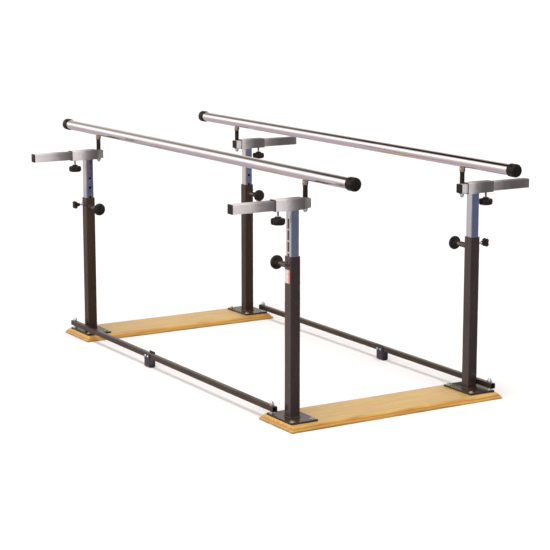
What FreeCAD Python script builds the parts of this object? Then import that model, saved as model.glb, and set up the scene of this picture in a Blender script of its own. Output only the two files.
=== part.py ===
import FreeCAD, Part
import math
import os

# Folding parallel bars for walking practice, in millimetres.
# +X runs along the rails, +Y across the walkway, +Z up; the origin is on the floor, in the middle.
# The set is the same after half a turn about +Z, so one base serves both ends.

os.makedirs("parts", exist_ok=True)

# Layout
POST_X = 770.0            # upright's axis, from the middle, along the rails
POST_Y = 366.0            # upright's axis, from the middle, across
RAIL_Y = 317.7            # rail's axis, from the middle, across
RAIL_Z = 828.0            # rail's axis above the floor, at the height setting modelled
RAIL_HALF_LENGTH = 1066.8

# Base planks and plates
PLANK_SIZE = (210.0, 864.0)
PLANK_THICK = 20.0
PLANK_LOWER_EDGE = 5.0
PLANK_BEVEL = 13.0
PLATE_SIZE = (158.8, 104.8)
PLATE_THICK = 6.35
PLATE_CORNER = 4.0
FIXING_DX = 65.0          # plate fixings and fold pivots, from the upright's axis
FIXING_DY = 39.5

# Square tubes
OUTER_SIDE = 38.1
OUTER_WALL = 2.77
INNER_SIDE = 31.75
INNER_WALL = 2.1
TUBE_CORNER = 3.0
BORE_CORNER = 0.6         # what a bore's corner has beyond the outer corner less the wall
UPRIGHT_TOP = 564.0
RISER_BOTTOM = 250.0
PIN_Z = 528.0             # height pin
HOLE_PITCH = 38.1
HOLES_BELOW = 5           # holes in the riser below and above the one in use
HOLES_ABOVE = 3
SET_SCREW_Z = 538.0

# Crosswise sleeves and arms
SLEEVE_Z = 735.0
SLEEVE_INNER = 331.0      # sleeve's ends, from the middle, across
SLEEVE_OUTER = 441.0
CLAMP_Y = 421.6
ARM_INNER = 307.5
ARM_OUTER = 597.5
PLUG_HEAD = 3.0
PLUG_CORNER = 1.6
PLUG_CLEARANCE = 0.2      # all told, across the tube's bore
INNER_PLUG_SHANK = 4.0    # short, to stay clear of the rail's post
OUTER_PLUG_SHANK = 14.0

# Stringers and their feet
STRINGER_SIDE = 19.05
STRINGER_WALL = 1.65
STRINGER_Z = 34.0         # underside above the floor
STRINGER_OVERHANG = 20.0  # beyond each pivot
FOOT_X = 178.0
FOOT_LENGTH = 40.0
FOOT_WALL = 3.2
FOOT_CORNER = 6.0
FOOT_TALL_FLANGE = 58.0
FOOT_SHORT_BY = 2.0       # outer flange's top, below the stringer's
FOOT_BOLT_DX = 10.0
FOOT_BOLT_R = 3.0
FOOT_BOLT_DROP = 1.0      # below the stringer's axis
FOOT_BOLT_HEAD = [(0, 0), (5.4, 0), (5.4, 1.6), (3.6, 3.4), (0, 3.8)]     # radius, height
FOOT_NUT_AF = 10.0
FOOT_NUT_THICK = 5.0
FOOT_BOLT_END = 1.0       # beyond the nut

# Rails
RAIL_R = 19.05
RAIL_WALL = 1.9
CAP_R = 22.3
CAP_LENGTH = 34.0
CAP_END = 5.0
CAP_OUTLINE = [           # radius, distance from the mouth
    (0, 0), (21.7, 0), (CAP_R, 0.6), (CAP_R, 26.0), (21.1, 30.0), (18.1, 33.0), (14.3, CAP_LENGTH),
    (0, CAP_LENGTH)]

# Shafts and the holes that they turn or slide in
PIVOT_R = 4.76
PIVOT_HOLE_R = 4.82
SCREW_R = 4.0
SCREW_HOLE_R = 4.06
PIN_HOLE_R = 4.84
RISER_HOLE_R = 5.14
GAP = 0.3                 # between faces of parts that move past each other

# Domed nuts
NUT_AF = 14.3             # across flats
NUT_FLATS = 6.0           # height of the flats
DOME_INSET = 0.8
DOME_RISE = 1.0           # dome's centre above the flats
DOME_OVERLAP = 0.5
NUT_DEPTH = 8.0           # of thread in the nut

X = FreeCAD.Vector(1, 0, 0)
Y = FreeCAD.Vector(0, 1, 0)
Z = FreeCAD.Vector(0, 0, 1)
BASES = {"left": -1, "right": 1}
RAILS = {"near": -1, "far": 1}
CORNERS = {"nl": (-1, -1), "nr": (1, -1), "fl": (-1, 1), "fr": (1, 1)}
SET_SCREW_CORNERS = ("nl", "fr")


def vec(x, y, z):
    return FreeCAD.Vector(x, y, z)


def box(x0, x1, y0, y1, z0, z1):
    """Box between the given limits, in any order."""
    low = vec(min(x0, x1), min(y0, y1), min(z0, z1))
    return Part.makeBox(abs(x1 - x0), abs(y1 - y0), abs(z1 - z0), low)


def cylinder(radius, start, direction, length):
    return Part.makeCylinder(radius, length, start, direction)


def ring(outer, inner, start, direction, length):
    return cylinder(outer, start, direction, length).cut(cylinder(inner, start, direction, length))


def place(shape, start, direction):
    """Move a shape built on the origin along +Z so that it starts at a point and runs in a direction."""
    placed = shape.copy()
    placed.Placement = FreeCAD.Placement(start, FreeCAD.Rotation(Z, direction))
    return placed


def lathe(profile):
    """Turned solid about +Z from (radius, height) pairs that start and end on the axis."""
    points = [vec(r, 0, h) for r, h in profile]
    face = Part.Face(Part.makePolygon(points + points[:1]))
    return face.revolve(vec(0, 0, 0), Z, 360)


def rounded_bar(side_x, side_y, corner, length):
    bar = Part.makeBox(side_x, side_y, length, vec(-side_x / 2, -side_y / 2, 0))
    upright_edges = [e for e in bar.Edges if abs(e.tangentAt(e.FirstParameter).z) > 0.9]
    return bar.makeFillet(corner, upright_edges)


def square_tube(side, wall, start, direction, length):
    outer = rounded_bar(side, side, TUBE_CORNER, length)
    bore = rounded_bar(side - 2 * wall, side - 2 * wall, TUBE_CORNER - wall + BORE_CORNER, length)
    return place(outer.cut(bore), start, direction)


def hex_prism(across_flats, height):
    radius = across_flats / math.sqrt(3)
    corners = [
        vec(radius * math.cos(math.radians(60 * k)), radius * math.sin(math.radians(60 * k)), 0)
        for k in range(7)
    ]
    return Part.Face(Part.makePolygon(corners)).extrude(vec(0, 0, height))


def acorn_nut():
    """Domed nut on the origin, open at the bottom."""
    dome = Part.makeSphere(NUT_AF / 2 - DOME_INSET, vec(0, 0, NUT_FLATS + DOME_RISE))
    dome = dome.common(Part.makeCylinder(NUT_AF, NUT_AF, vec(0, 0, NUT_FLATS - DOME_OVERLAP)))
    crown = hex_prism(NUT_AF, NUT_FLATS).fuse(dome)
    return crown.cut(Part.makeCylinder(PIVOT_R, NUT_DEPTH)).removeSplitter()


def fluted(blank, count, flute_r, centre_r, z0, z1):
    """Cut evenly spaced hollows down the side of a turned knob."""
    for k in range(count):
        angle = 2 * math.pi * k / count
        centre = vec(centre_r * math.cos(angle), centre_r * math.sin(angle), z0)
        blank = blank.cut(Part.makeCylinder(flute_r, z1 - z0, centre))
    return blank


def export(name, solids):
    shape = solids[0] if len(solids) == 1 else Part.makeCompound(solids)
    shape.exportStep("parts/" + name + ".step")


def fixing_points(sx, sy):
    """The three screw positions of one plate; the fourth corner holds the fold pivot."""
    pivot = pivot_point(sx, sy)
    corners = [
        vec(sx * POST_X + i * FIXING_DX, sy * POST_Y + j * FIXING_DY, 0)
        for i in (-1, 1) for j in (-1, 1)
    ]
    return [c for c in corners if c.distanceToPoint(pivot) > PIVOT_R]


def pivot_point(sx, sy):
    """Fold pivot on the floor plane: the outer corner that faces -X on the near side, +X on the far."""
    return vec(sx * POST_X + sy * FIXING_DX, sy * (POST_Y + FIXING_DY), 0)


# Base --------------------------------------------------------------------------------------------

LAG_R = 4.0
LAG_HOLE_R = 4.3          # in the plate
LAG_DEPTH = 14.0
LAG_HEAD_AF = 11.1
LAG_HEAD_HEIGHT = 4.6
WASHER_R = 10.5
WASHER_THICK = 1.5
PLATE_TOP = PLANK_THICK + PLATE_THICK


def plank(sx):
    half_x = PLANK_SIZE[0] / 2
    half_y = PLANK_SIZE[1] / 2
    wires = []
    for inset, z in ((0.0, PLANK_LOWER_EDGE), (PLANK_BEVEL, PLANK_THICK)):
        hx = half_x - inset
        hy = half_y - inset
        corners = [vec(-hx, -hy, z), vec(hx, -hy, z), vec(hx, hy, z), vec(-hx, hy, z)]
        wires.append(Part.makePolygon(corners + corners[:1]))
    bevelled = Part.makeLoft(wires, True, True)
    board = box(-half_x, half_x, -half_y, half_y, 0, PLANK_LOWER_EDGE).fuse(bevelled)
    board = board.removeSplitter()
    board.translate(vec(sx * POST_X, 0, 0))
    depth_point = vec(0, 0, PLANK_THICK - LAG_DEPTH)
    for sy in (-1, 1):
        for point in fixing_points(sx, sy):
            board = board.cut(cylinder(LAG_R, point + depth_point, Z, LAG_DEPTH))
        board = board.cut(cylinder(PIVOT_R, pivot_point(sx, sy) + depth_point, Z, LAG_DEPTH))
    return board


def base_plate(sx, sy):
    plate = rounded_bar(PLATE_SIZE[0], PLATE_SIZE[1], PLATE_CORNER, PLATE_THICK)
    plate.translate(vec(sx * POST_X, sy * POST_Y, PLANK_THICK))
    for point in fixing_points(sx, sy):
        plate = plate.cut(cylinder(LAG_HOLE_R, point + Z * PLANK_THICK, Z, PLATE_THICK))
    return plate.cut(cylinder(PIVOT_R, pivot_point(sx, sy) + Z * PLANK_THICK, Z, PLATE_THICK))


def upright(sx, sy):
    """Outer tube, with the pin's hole on its inward side and the set screw's on its outer side."""
    foot = vec(sx * POST_X, sy * POST_Y, PLATE_TOP)
    tube = square_tube(OUTER_SIDE, OUTER_WALL, foot, Z, UPRIGHT_TOP - PLATE_TOP)
    pin_start = vec(sx * POST_X, sy * POST_Y, PIN_Z)
    tube = tube.cut(cylinder(PIN_HOLE_R, pin_start, X * -sx, OUTER_SIDE))
    screw_start = vec(sx * POST_X, sy * POST_Y, SET_SCREW_Z)
    return tube.cut(cylinder(SCREW_HOLE_R, screw_start, Y * sy, OUTER_SIDE))


def lag_screw(point):
    head_z = PLATE_TOP + WASHER_THICK
    head = hex_prism(LAG_HEAD_AF, LAG_HEAD_HEIGHT)
    head.translate(point + Z * head_z)
    shank_z = PLANK_THICK - LAG_DEPTH
    return head.fuse(cylinder(LAG_R, point + Z * shank_z, Z, head_z - shank_z))


def lag_washer(point):
    return ring(WASHER_R, LAG_R, point + Z * PLATE_TOP, Z, WASHER_THICK)


HOUSING_R = 9.6
HOUSING_BORE_R = 7.0
HOUSING_LENGTH = 44.0
HOUSING_END = 6.0
HOUSING_WELD_R = 12.5
HOUSING_WELD = 4.0
BOSS_R = 8.6
BOSS_LENGTH = 6.5
BOSS_WELD_R = 11.0
BOSS_WELD = 2.5


def pin_housing(sx, sy):
    """Welded barrel that holds the height pin and its spring."""
    face = vec(sx * (POST_X - OUTER_SIDE / 2), sy * POST_Y, PIN_Z)
    inward = X * -sx
    outline = [
        (0, 0), (HOUSING_WELD_R, 0), (HOUSING_R, HOUSING_WELD), (HOUSING_R, HOUSING_LENGTH),
        (0, HOUSING_LENGTH)]
    barrel = place(lathe(outline), face, inward)
    barrel = barrel.cut(cylinder(HOUSING_BORE_R, face, inward, HOUSING_LENGTH - HOUSING_END))
    return barrel.cut(cylinder(PIN_HOLE_R, face, inward, HOUSING_LENGTH))


def set_screw_boss(sx, sy):
    face = vec(sx * POST_X, sy * (POST_Y + OUTER_SIDE / 2), SET_SCREW_Z)
    boss = lathe([(0, 0), (BOSS_WELD_R, 0), (BOSS_R, BOSS_WELD), (BOSS_R, BOSS_LENGTH), (0, BOSS_LENGTH)])
    return place(boss, face, Y * sy).cut(cylinder(SCREW_HOLE_R, face, Y * sy, BOSS_LENGTH))


PIVOT_WASHER_R = 10.5
PIVOT_WASHER_THICK = 1.6
SPACER_R = 6.6            # spacer and upper washer


def pivot_hardware(sx, sy):
    """Hanger bolt, lower washer, spacer, upper washer and domed nut of one fold pivot."""
    point = pivot_point(sx, sy)
    stringer_top = STRINGER_Z + STRINGER_SIDE
    upper_washer_z = stringer_top + GAP
    nut_z = upper_washer_z + PIVOT_WASHER_THICK
    stud_z = PLANK_THICK - LAG_DEPTH
    stud = cylinder(PIVOT_R, point + Z * stud_z, Z, nut_z + NUT_DEPTH - stud_z)
    spacer_z = PLATE_TOP + PIVOT_WASHER_THICK
    lower_washer = ring(PIVOT_WASHER_R, PIVOT_R, point + Z * PLATE_TOP, Z, PIVOT_WASHER_THICK)
    spacer = ring(SPACER_R, PIVOT_R, point + Z * spacer_z, Z, STRINGER_Z - GAP - spacer_z)
    upper_washer = ring(SPACER_R, PIVOT_R, point + Z * upper_washer_z, Z, PIVOT_WASHER_THICK)
    nut = acorn_nut()
    nut.translate(point + Z * nut_z)
    return [stud, lower_washer, spacer, upper_washer, nut]


for base, sx in BASES.items():
    points = [p for sy in (-1, 1) for p in fixing_points(sx, sy)]
    export("plank_" + base, [plank(sx)])
    export("base_plates_" + base, [base_plate(sx, sy) for sy in (-1, 1)])
    export("uprights_" + base, [upright(sx, sy) for sy in (-1, 1)])
    export("lag_screws_" + base, [lag_screw(p) for p in points])
    export("lag_washers_" + base, [lag_washer(p) for p in points])
    housings = [pin_housing(sx, sy) for sy in (-1, 1)]
    bosses = [set_screw_boss(sx, sy) for sy in (-1, 1)]
    export("weld_fittings_" + base, housings + bosses)
    export("pivot_bolts_" + base, pivot_hardware(sx, -1) + pivot_hardware(sx, 1))


# Stringers ---------------------------------------------------------------------------------------

def stringer_tube(sy):
    left = pivot_point(-1, sy)
    right = pivot_point(1, sy)
    length = right.x - left.x + 2 * STRINGER_OVERHANG
    start = vec(left.x - STRINGER_OVERHANG, left.y, STRINGER_Z + STRINGER_SIDE / 2)
    tube = square_tube(STRINGER_SIDE, STRINGER_WALL, start, X, length)
    for point in (left, right):
        tube = tube.cut(cylinder(PIVOT_HOLE_R, point + Z * STRINGER_Z, Z, STRINGER_SIDE))
    for dx in (-FOOT_BOLT_DX, FOOT_BOLT_DX):
        hole = foot_bolt_start(sy, dx)
        tube = tube.cut(cylinder(FOOT_BOLT_R, hole, Y * -sy, STRINGER_SIDE + 2 * FOOT_WALL))
    return tube


def foot_bolt_start(sy, dx):
    """Where one foot bolt meets the bracket's outer face."""
    y = sy * (POST_Y + FIXING_DY + STRINGER_SIDE / 2 + FOOT_WALL)
    return vec(sy * FOOT_X + dx, y, STRINGER_Z + STRINGER_SIDE / 2 - FOOT_BOLT_DROP)


def foot_bracket(sy):
    """U-shaped foot under the stringer; its inner flange stands a little above the tube."""
    axis_y = sy * (POST_Y + FIXING_DY)
    half = STRINGER_SIDE / 2
    outer_half = half + FOOT_WALL
    x0 = sy * FOOT_X - FOOT_LENGTH / 2
    block = box(x0, x0 + FOOT_LENGTH, axis_y - outer_half, axis_y + outer_half, 0, FOOT_TALL_FLANGE)
    lower = [e for e in block.Edges if e.CenterOfMass.z < 0.1 and abs(e.tangentAt(e.FirstParameter).x) > 0.9]
    block = block.makeFillet(FOOT_CORNER, lower)
    channel = box(x0, x0 + FOOT_LENGTH, axis_y - half, axis_y + half, FOOT_WALL, FOOT_TALL_FLANGE)
    bracket = block.cut(channel)
    outer_top = STRINGER_Z + STRINGER_SIDE - FOOT_SHORT_BY
    trim_from = axis_y + sy * half
    trim_to = axis_y + sy * outer_half
    bracket = bracket.cut(box(x0, x0 + FOOT_LENGTH, trim_from, trim_to, outer_top, FOOT_TALL_FLANGE))
    for dx in (-FOOT_BOLT_DX, FOOT_BOLT_DX):
        hole = foot_bolt_start(sy, dx)
        bracket = bracket.cut(cylinder(FOOT_BOLT_R, hole, Y * -sy, 2 * outer_half))
    return bracket


def foot_bolt(sy, dx):
    """Through bolt: round head outside, hexagon nut inside."""
    start = foot_bolt_start(sy, dx)
    width = STRINGER_SIDE + 2 * FOOT_WALL
    shank = cylinder(FOOT_BOLT_R, start, Y * -sy, width + FOOT_NUT_THICK + FOOT_BOLT_END)
    bolt = place(lathe(FOOT_BOLT_HEAD), start, Y * sy).fuse(shank)
    inner_face = start + Y * (-sy * width)
    nut = hex_prism(FOOT_NUT_AF, FOOT_NUT_THICK).cut(Part.makeCylinder(FOOT_BOLT_R, FOOT_NUT_THICK))
    return [bolt, place(nut, inner_face, Y * -sy)]


for side, sy in RAILS.items():
    export("stringer_" + side, [stringer_tube(sy)])
    export("stringer_foot_" + side, [foot_bracket(sy)])
    export("foot_bolts_" + side, foot_bolt(sy, -FOOT_BOLT_DX) + foot_bolt(sy, FOOT_BOLT_DX))


# Telescoping risers, crosswise arms --------------------------------------------------------------

def riser(sx, sy):
    """Inner upright with its row of height holes, and the sleeve welded across its top."""
    sleeve_bottom = SLEEVE_Z - OUTER_SIDE / 2
    start = vec(sx * POST_X, sy * POST_Y, RISER_BOTTOM)
    tube = square_tube(INNER_SIDE, INNER_WALL, start, Z, sleeve_bottom - RISER_BOTTOM)
    for k in range(-HOLES_BELOW, HOLES_ABOVE + 1):
        centre = vec(sx * POST_X, sy * POST_Y, PIN_Z + k * HOLE_PITCH)
        tube = tube.cut(cylinder(RISER_HOLE_R, centre, X * -sx, INNER_SIDE))
    sleeve_start = vec(sx * POST_X, sy * SLEEVE_INNER, SLEEVE_Z)
    sleeve = square_tube(OUTER_SIDE, OUTER_WALL, sleeve_start, Y * sy, SLEEVE_OUTER - SLEEVE_INNER)
    clamp = vec(sx * POST_X, sy * CLAMP_Y, SLEEVE_Z)
    sleeve = sleeve.cut(cylinder(SCREW_HOLE_R, clamp, -Z, OUTER_SIDE))
    return [tube, sleeve]


def arm(sx, sy):
    start = vec(sx * POST_X, sy * ARM_INNER, SLEEVE_Z)
    tube = square_tube(INNER_SIDE, INNER_WALL, start, Y * sy, ARM_OUTER - ARM_INNER)
    post = vec(sx * POST_X, sy * RAIL_Y, SLEEVE_Z - INNER_SIDE)
    return tube.cut(cylinder(PIVOT_HOLE_R, post, Z, 2 * INNER_SIDE))


def end_plug(start, direction, shank):
    """Square plastic plug: a head over the tube's end and a shank inside it."""
    bore = INNER_SIDE - 2 * INNER_WALL
    head = rounded_bar(INNER_SIDE, INNER_SIDE, TUBE_CORNER, PLUG_HEAD)
    head.translate(vec(0, 0, -PLUG_HEAD))
    fit = bore - PLUG_CLEARANCE
    plug = head.fuse(rounded_bar(fit, fit, PLUG_CORNER, shank))
    return place(plug, start, direction)


for corner, (sx, sy) in CORNERS.items():
    export("riser_" + corner, riser(sx, sy))
    export("arm_" + corner, [arm(sx, sy)])
    inner_plug = end_plug(vec(sx * POST_X, sy * ARM_INNER, SLEEVE_Z), Y * sy, INNER_PLUG_SHANK)
    outer_plug = end_plug(vec(sx * POST_X, sy * ARM_OUTER, SLEEVE_Z), Y * -sy, OUTER_PLUG_SHANK)
    export("arm_plugs_" + corner, [inner_plug, outer_plug])


# Height pins, springs, screws and knobs ----------------------------------------------------------

PIN_CHAMFER = 0.6
COLLAR_R = 6.7
COLLAR_LENGTH = 4.0
FERRULE_START = 56.0
FERRULE_R = 6.5
KNOB_NECK = 62.0          # where the knob starts, from the upright's face
KNOB_SOCKET = 12.0
KNOB_OUTLINE = [          # radius, distance from the neck
    (0, 0), (8.0, 0), (9.0, 5.0), (21.8, 9.0), (23.8, 12.0), (23.8, 19.0), (21.3, 24.0), (14.8, 28.0),
    (0, 30.0)]

SPRING_MEAN_R = 5.75
SPRING_WIRE_R = 0.7
SPRING_TURNS = 7
SPRING_STEPS = 12         # straight lengths of wire in each turn
SPRING_FREE = 0.1         # clearance at each end
MITRED = 1                # how the sweep joins the lengths

# Outlines of the screws' knobs: radius, distance from the face that the screw enters
SET_KNOB_OUTLINE = [
    (0, 22.0), (7.0, 22.0), (7.0, 33.0), (14.6, 34.5), (16.0, 36.5), (16.0, 44.0), (14.0, 46.0), (0, 46.5)]
SET_SCREW_END = 34.0
SET_KNOB_FLUTES = (4, 8.0, 18.5, 33.2, 48.0)         # count, radius, centres' radius, from, to
CLAMP_KNOB_OUTLINE = [
    (0, 18.5), (10.5, 18.5), (11.5, 22.0), (21.5, 24.5), (24.0, 27.0), (24.0, 39.5), (21.5, 44.0),
    (16.0, 46.0), (0, 46.0)]
CLAMP_SCREW_END = 34.0
CLAMP_KNOB_FLUTES = (7, 6.5, 28.4, 22.6, 47.0)


def height_pin(sx, sy):
    """Spring-loaded pin with its collar and ferrule, and the round knob on it."""
    face = vec(sx * (POST_X - OUTER_SIDE / 2), sy * POST_Y, PIN_Z)
    inward = X * -sx
    nose = (OUTER_SIDE - INNER_SIDE) / 2 - GAP
    collar_end = GAP + COLLAR_LENGTH
    pin_end = KNOB_NECK + KNOB_SOCKET
    pin = lathe([
        (0, -nose), (PIVOT_R - PIN_CHAMFER, -nose), (PIVOT_R, -nose + PIN_CHAMFER), (PIVOT_R, GAP),
        (COLLAR_R, GAP), (COLLAR_R, collar_end), (PIVOT_R, collar_end), (PIVOT_R, FERRULE_START),
        (FERRULE_R, FERRULE_START), (FERRULE_R, KNOB_NECK), (PIVOT_R, KNOB_NECK), (PIVOT_R, pin_end),
        (0, pin_end)])
    knob = lathe([(radius, KNOB_NECK + rise) for radius, rise in KNOB_OUTLINE])
    knob = knob.cut(cylinder(PIVOT_R, vec(0, 0, KNOB_NECK), Z, KNOB_SOCKET))
    return [place(pin, face, inward), place(knob, face, inward)]


def pin_spring(sx, sy):
    """Compression spring between the pin's collar and the housing's end."""
    face = vec(sx * (POST_X - OUTER_SIDE / 2), sy * POST_Y, PIN_Z)
    start = GAP + COLLAR_LENGTH + SPRING_WIRE_R + SPRING_FREE
    height = HOUSING_LENGTH - HOUSING_END - SPRING_WIRE_R - SPRING_FREE - start
    steps = SPRING_TURNS * SPRING_STEPS
    points = []
    for k in range(steps + 1):
        angle = 2 * math.pi * k / SPRING_STEPS
        across = SPRING_MEAN_R * math.cos(angle)
        points.append(vec(across, SPRING_MEAN_R * math.sin(angle), start + height * k / steps))
    section = Part.Wire(Part.makeCircle(SPRING_WIRE_R, points[0], points[1] - points[0]))
    coil = Part.makePolygon(points).makePipeShell([section], True, False, MITRED)
    return place(coil, face, X * -sx)


def screw_with_knob(tip, end, outline, flutes):
    """Screw from below the origin up into its fluted knob, along +Z."""
    socket = outline[0][1]
    screw = cylinder(SCREW_R, vec(0, 0, -tip), Z, tip + end)
    knob = fluted(lathe(outline), *flutes).cut(cylinder(SCREW_R, vec(0, 0, socket), Z, end - socket))
    return [screw, knob]


def set_screw(sx, sy):
    """Screw with a four-armed knob that steadies the riser in the upright."""
    face = vec(sx * POST_X, sy * (POST_Y + OUTER_SIDE / 2), SET_SCREW_Z)
    tip = (OUTER_SIDE - INNER_SIDE) / 2 - GAP
    solids = screw_with_knob(tip, SET_SCREW_END, SET_KNOB_OUTLINE, SET_KNOB_FLUTES)
    return [place(solid, face, Y * sy) for solid in solids]


def clamp_screw(sx, sy):
    """Screw with a fluted knob under the sleeve that locks the crosswise arm."""
    tip = (OUTER_SIDE - INNER_SIDE) / 2 - GAP
    start = vec(sx * POST_X, sy * CLAMP_Y, SLEEVE_Z - OUTER_SIDE / 2)
    solids = screw_with_knob(tip, CLAMP_SCREW_END, CLAMP_KNOB_OUTLINE, CLAMP_KNOB_FLUTES)
    return [place(solid, start, -Z) for solid in solids]


for corner, (sx, sy) in CORNERS.items():
    export("height_pin_" + corner, height_pin(sx, sy))
    export("pin_spring_" + corner, [pin_spring(sx, sy)])
    export("clamp_screw_" + corner, clamp_screw(sx, sy))

for corner in SET_SCREW_CORNERS:
    export("set_screw_" + corner, set_screw(*CORNERS[corner]))


# Rails and their posts ---------------------------------------------------------------------------

FORK_R = 10.0
FORK_SLOT = 6.4
FORK_WIDTH = 16.4
FORK_BASE = 4.0
FORK_HEIGHT = 15.4
SPACER_LENGTH = 40.0
POST_SPACER_R = 8.2
POST_WASHER_R = 10.0
POST_WASHER_THICK = 2.0
CLEVIS_PIN_R = 3.0
CLEVIS_PIN_RISE = 8.6
CLEVIS_HEAD_R = 4.6
CLEVIS_HEAD_TOP_R = 3.4
CLEVIS_HEAD = 2.0
LUG_HALF_WIDTH = 8.5
LUG_SIDE_GAP = 0.2
LUG_END_GAP = 0.4
ARM_TOP = SLEEVE_Z + INNER_SIDE / 2
ARM_BOTTOM = SLEEVE_Z - INNER_SIDE / 2
TOP_WASHER_Z = ARM_TOP + GAP
POST_SPACER_Z = TOP_WASHER_Z + POST_WASHER_THICK
FORK_Z = POST_SPACER_Z + SPACER_LENGTH
LOWER_WASHER_Z = ARM_BOTTOM - GAP - POST_WASHER_THICK


def rail_tube(sy):
    half = RAIL_HALF_LENGTH - CAP_END
    return ring(RAIL_R, RAIL_R - RAIL_WALL, vec(-half, sy * RAIL_Y, RAIL_Z), X, 2 * half)


def rail_cap(sx, sy):
    """Slip-on end cap with a domed end."""
    cap = lathe(CAP_OUTLINE).cut(cylinder(RAIL_R, vec(0, 0, 0), Z, CAP_LENGTH - CAP_END))
    start = vec(sx * (RAIL_HALF_LENGTH - CAP_LENGTH), sy * RAIL_Y, RAIL_Z)
    return place(cap, start, X * sx)


def clevis_hole(sx, sy):
    start = vec(sx * POST_X, sy * RAIL_Y - FORK_WIDTH / 2, FORK_Z + CLEVIS_PIN_RISE)
    return cylinder(CLEVIS_PIN_R, start, Y, FORK_WIDTH)


def rail_lug(sx, sy):
    """Tab welded under the rail, between the fork's ears."""
    x = sx * POST_X
    y = sy * RAIL_Y
    low = FORK_Z + FORK_BASE + LUG_END_GAP
    half = FORK_SLOT / 2 - LUG_SIDE_GAP
    tab = box(x - LUG_HALF_WIDTH, x + LUG_HALF_WIDTH, y - half, y + half, low, RAIL_Z)
    tab = tab.cut(cylinder(RAIL_R, vec(x - LUG_HALF_WIDTH, y, RAIL_Z), X, 2 * LUG_HALF_WIDTH))
    return tab.cut(clevis_hole(sx, sy))


def rail_post(sx, sy):
    """Fork with the post below it, down through the arm."""
    x = sx * POST_X
    y = sy * RAIL_Y
    top = FORK_Z + FORK_HEIGHT
    fork = cylinder(FORK_R, vec(x, y, FORK_Z), Z, FORK_HEIGHT)
    fork = fork.common(box(x - FORK_R, x + FORK_R, y - FORK_WIDTH / 2, y + FORK_WIDTH / 2, FORK_Z, top))
    slot_z = FORK_Z + FORK_BASE
    fork = fork.cut(box(x - FORK_R, x + FORK_R, y - FORK_SLOT / 2, y + FORK_SLOT / 2, slot_z, top))
    fork = fork.cut(clevis_hole(sx, sy))
    stud_z = LOWER_WASHER_Z - NUT_DEPTH
    return fork.fuse(cylinder(PIVOT_R, vec(x, y, stud_z), Z, FORK_Z - stud_z))


def clevis_pin(sx, sy):
    """Rivet with a low head at both ends."""
    face = FORK_WIDTH / 2
    edge = face + CLEVIS_HEAD / 2
    end = face + CLEVIS_HEAD
    upper = [
        (CLEVIS_PIN_R, face), (CLEVIS_HEAD_R, face), (CLEVIS_HEAD_R, edge), (CLEVIS_HEAD_TOP_R, end), (0, end)]
    lower = [(radius, -height) for radius, height in reversed(upper)]
    return place(lathe(lower + upper), vec(sx * POST_X, sy * RAIL_Y, FORK_Z + CLEVIS_PIN_RISE), Y)


def post_hardware(sx, sy):
    """Washers above and below the arm, and the domed nut under it."""
    axis = vec(sx * POST_X, sy * RAIL_Y, 0)
    top = ring(POST_WASHER_R, PIVOT_R, axis + Z * TOP_WASHER_Z, Z, POST_WASHER_THICK)
    low = ring(POST_WASHER_R, PIVOT_R, axis + Z * LOWER_WASHER_Z, Z, POST_WASHER_THICK)
    nut = place(acorn_nut(), axis + Z * LOWER_WASHER_Z, -Z)
    return [top, low, nut]


def post_spacer(sx, sy):
    return ring(POST_SPACER_R, PIVOT_R, vec(sx * POST_X, sy * RAIL_Y, POST_SPACER_Z), Z, SPACER_LENGTH)


for side, sy in RAILS.items():
    export("rail_" + side, [rail_tube(sy)])
    export("rail_caps_" + side, [rail_cap(sx, sy) for sx in (-1, 1)])
    export("rail_lugs_" + side, [rail_lug(sx, sy) for sx in (-1, 1)])
    export("rail_posts_" + side, [rail_post(sx, sy) for sx in (-1, 1)])
    export("clevis_pins_" + side, [clevis_pin(sx, sy) for sx in (-1, 1)])
    export("post_spacers_" + side, [post_spacer(sx, sy) for sx in (-1, 1)])
    export("post_nuts_" + side, post_hardware(-1, sy) + post_hardware(1, sy))
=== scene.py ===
import math

import bmesh
import bpy
from mathutils import Matrix, Vector


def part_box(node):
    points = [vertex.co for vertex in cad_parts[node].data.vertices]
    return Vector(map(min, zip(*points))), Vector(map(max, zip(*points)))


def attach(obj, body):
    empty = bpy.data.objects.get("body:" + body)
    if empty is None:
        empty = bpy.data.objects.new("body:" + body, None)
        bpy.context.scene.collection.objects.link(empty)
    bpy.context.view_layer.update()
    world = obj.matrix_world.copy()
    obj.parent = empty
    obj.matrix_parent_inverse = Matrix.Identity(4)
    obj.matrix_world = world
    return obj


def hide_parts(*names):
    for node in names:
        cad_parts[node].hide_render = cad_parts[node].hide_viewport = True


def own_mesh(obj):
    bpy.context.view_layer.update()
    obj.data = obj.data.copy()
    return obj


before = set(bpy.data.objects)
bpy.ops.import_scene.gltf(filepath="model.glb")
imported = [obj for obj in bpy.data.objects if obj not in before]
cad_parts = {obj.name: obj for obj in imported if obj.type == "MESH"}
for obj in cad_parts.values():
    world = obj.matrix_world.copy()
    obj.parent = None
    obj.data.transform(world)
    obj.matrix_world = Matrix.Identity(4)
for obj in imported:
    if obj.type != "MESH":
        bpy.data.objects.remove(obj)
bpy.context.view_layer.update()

MM = 0.001
X = Vector((1, 0, 0))
Y = Vector((0, 1, 0))
Z = Vector((0, 0, 1))
BASES = {"left": -1, "right": 1}
SIDES = {"near": -1, "far": 1}
CORNERS = {"nl": (-1, -1), "nr": (1, -1), "fl": (-1, 1), "fr": (1, 1)}
SET_SCREW_CORNERS = ("nl", "fr")


# Layout, read from the frame

def centre(node):
    low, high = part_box(node)
    return (low + high) / 2


def size(node):
    low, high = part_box(node)
    return high - low


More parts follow.
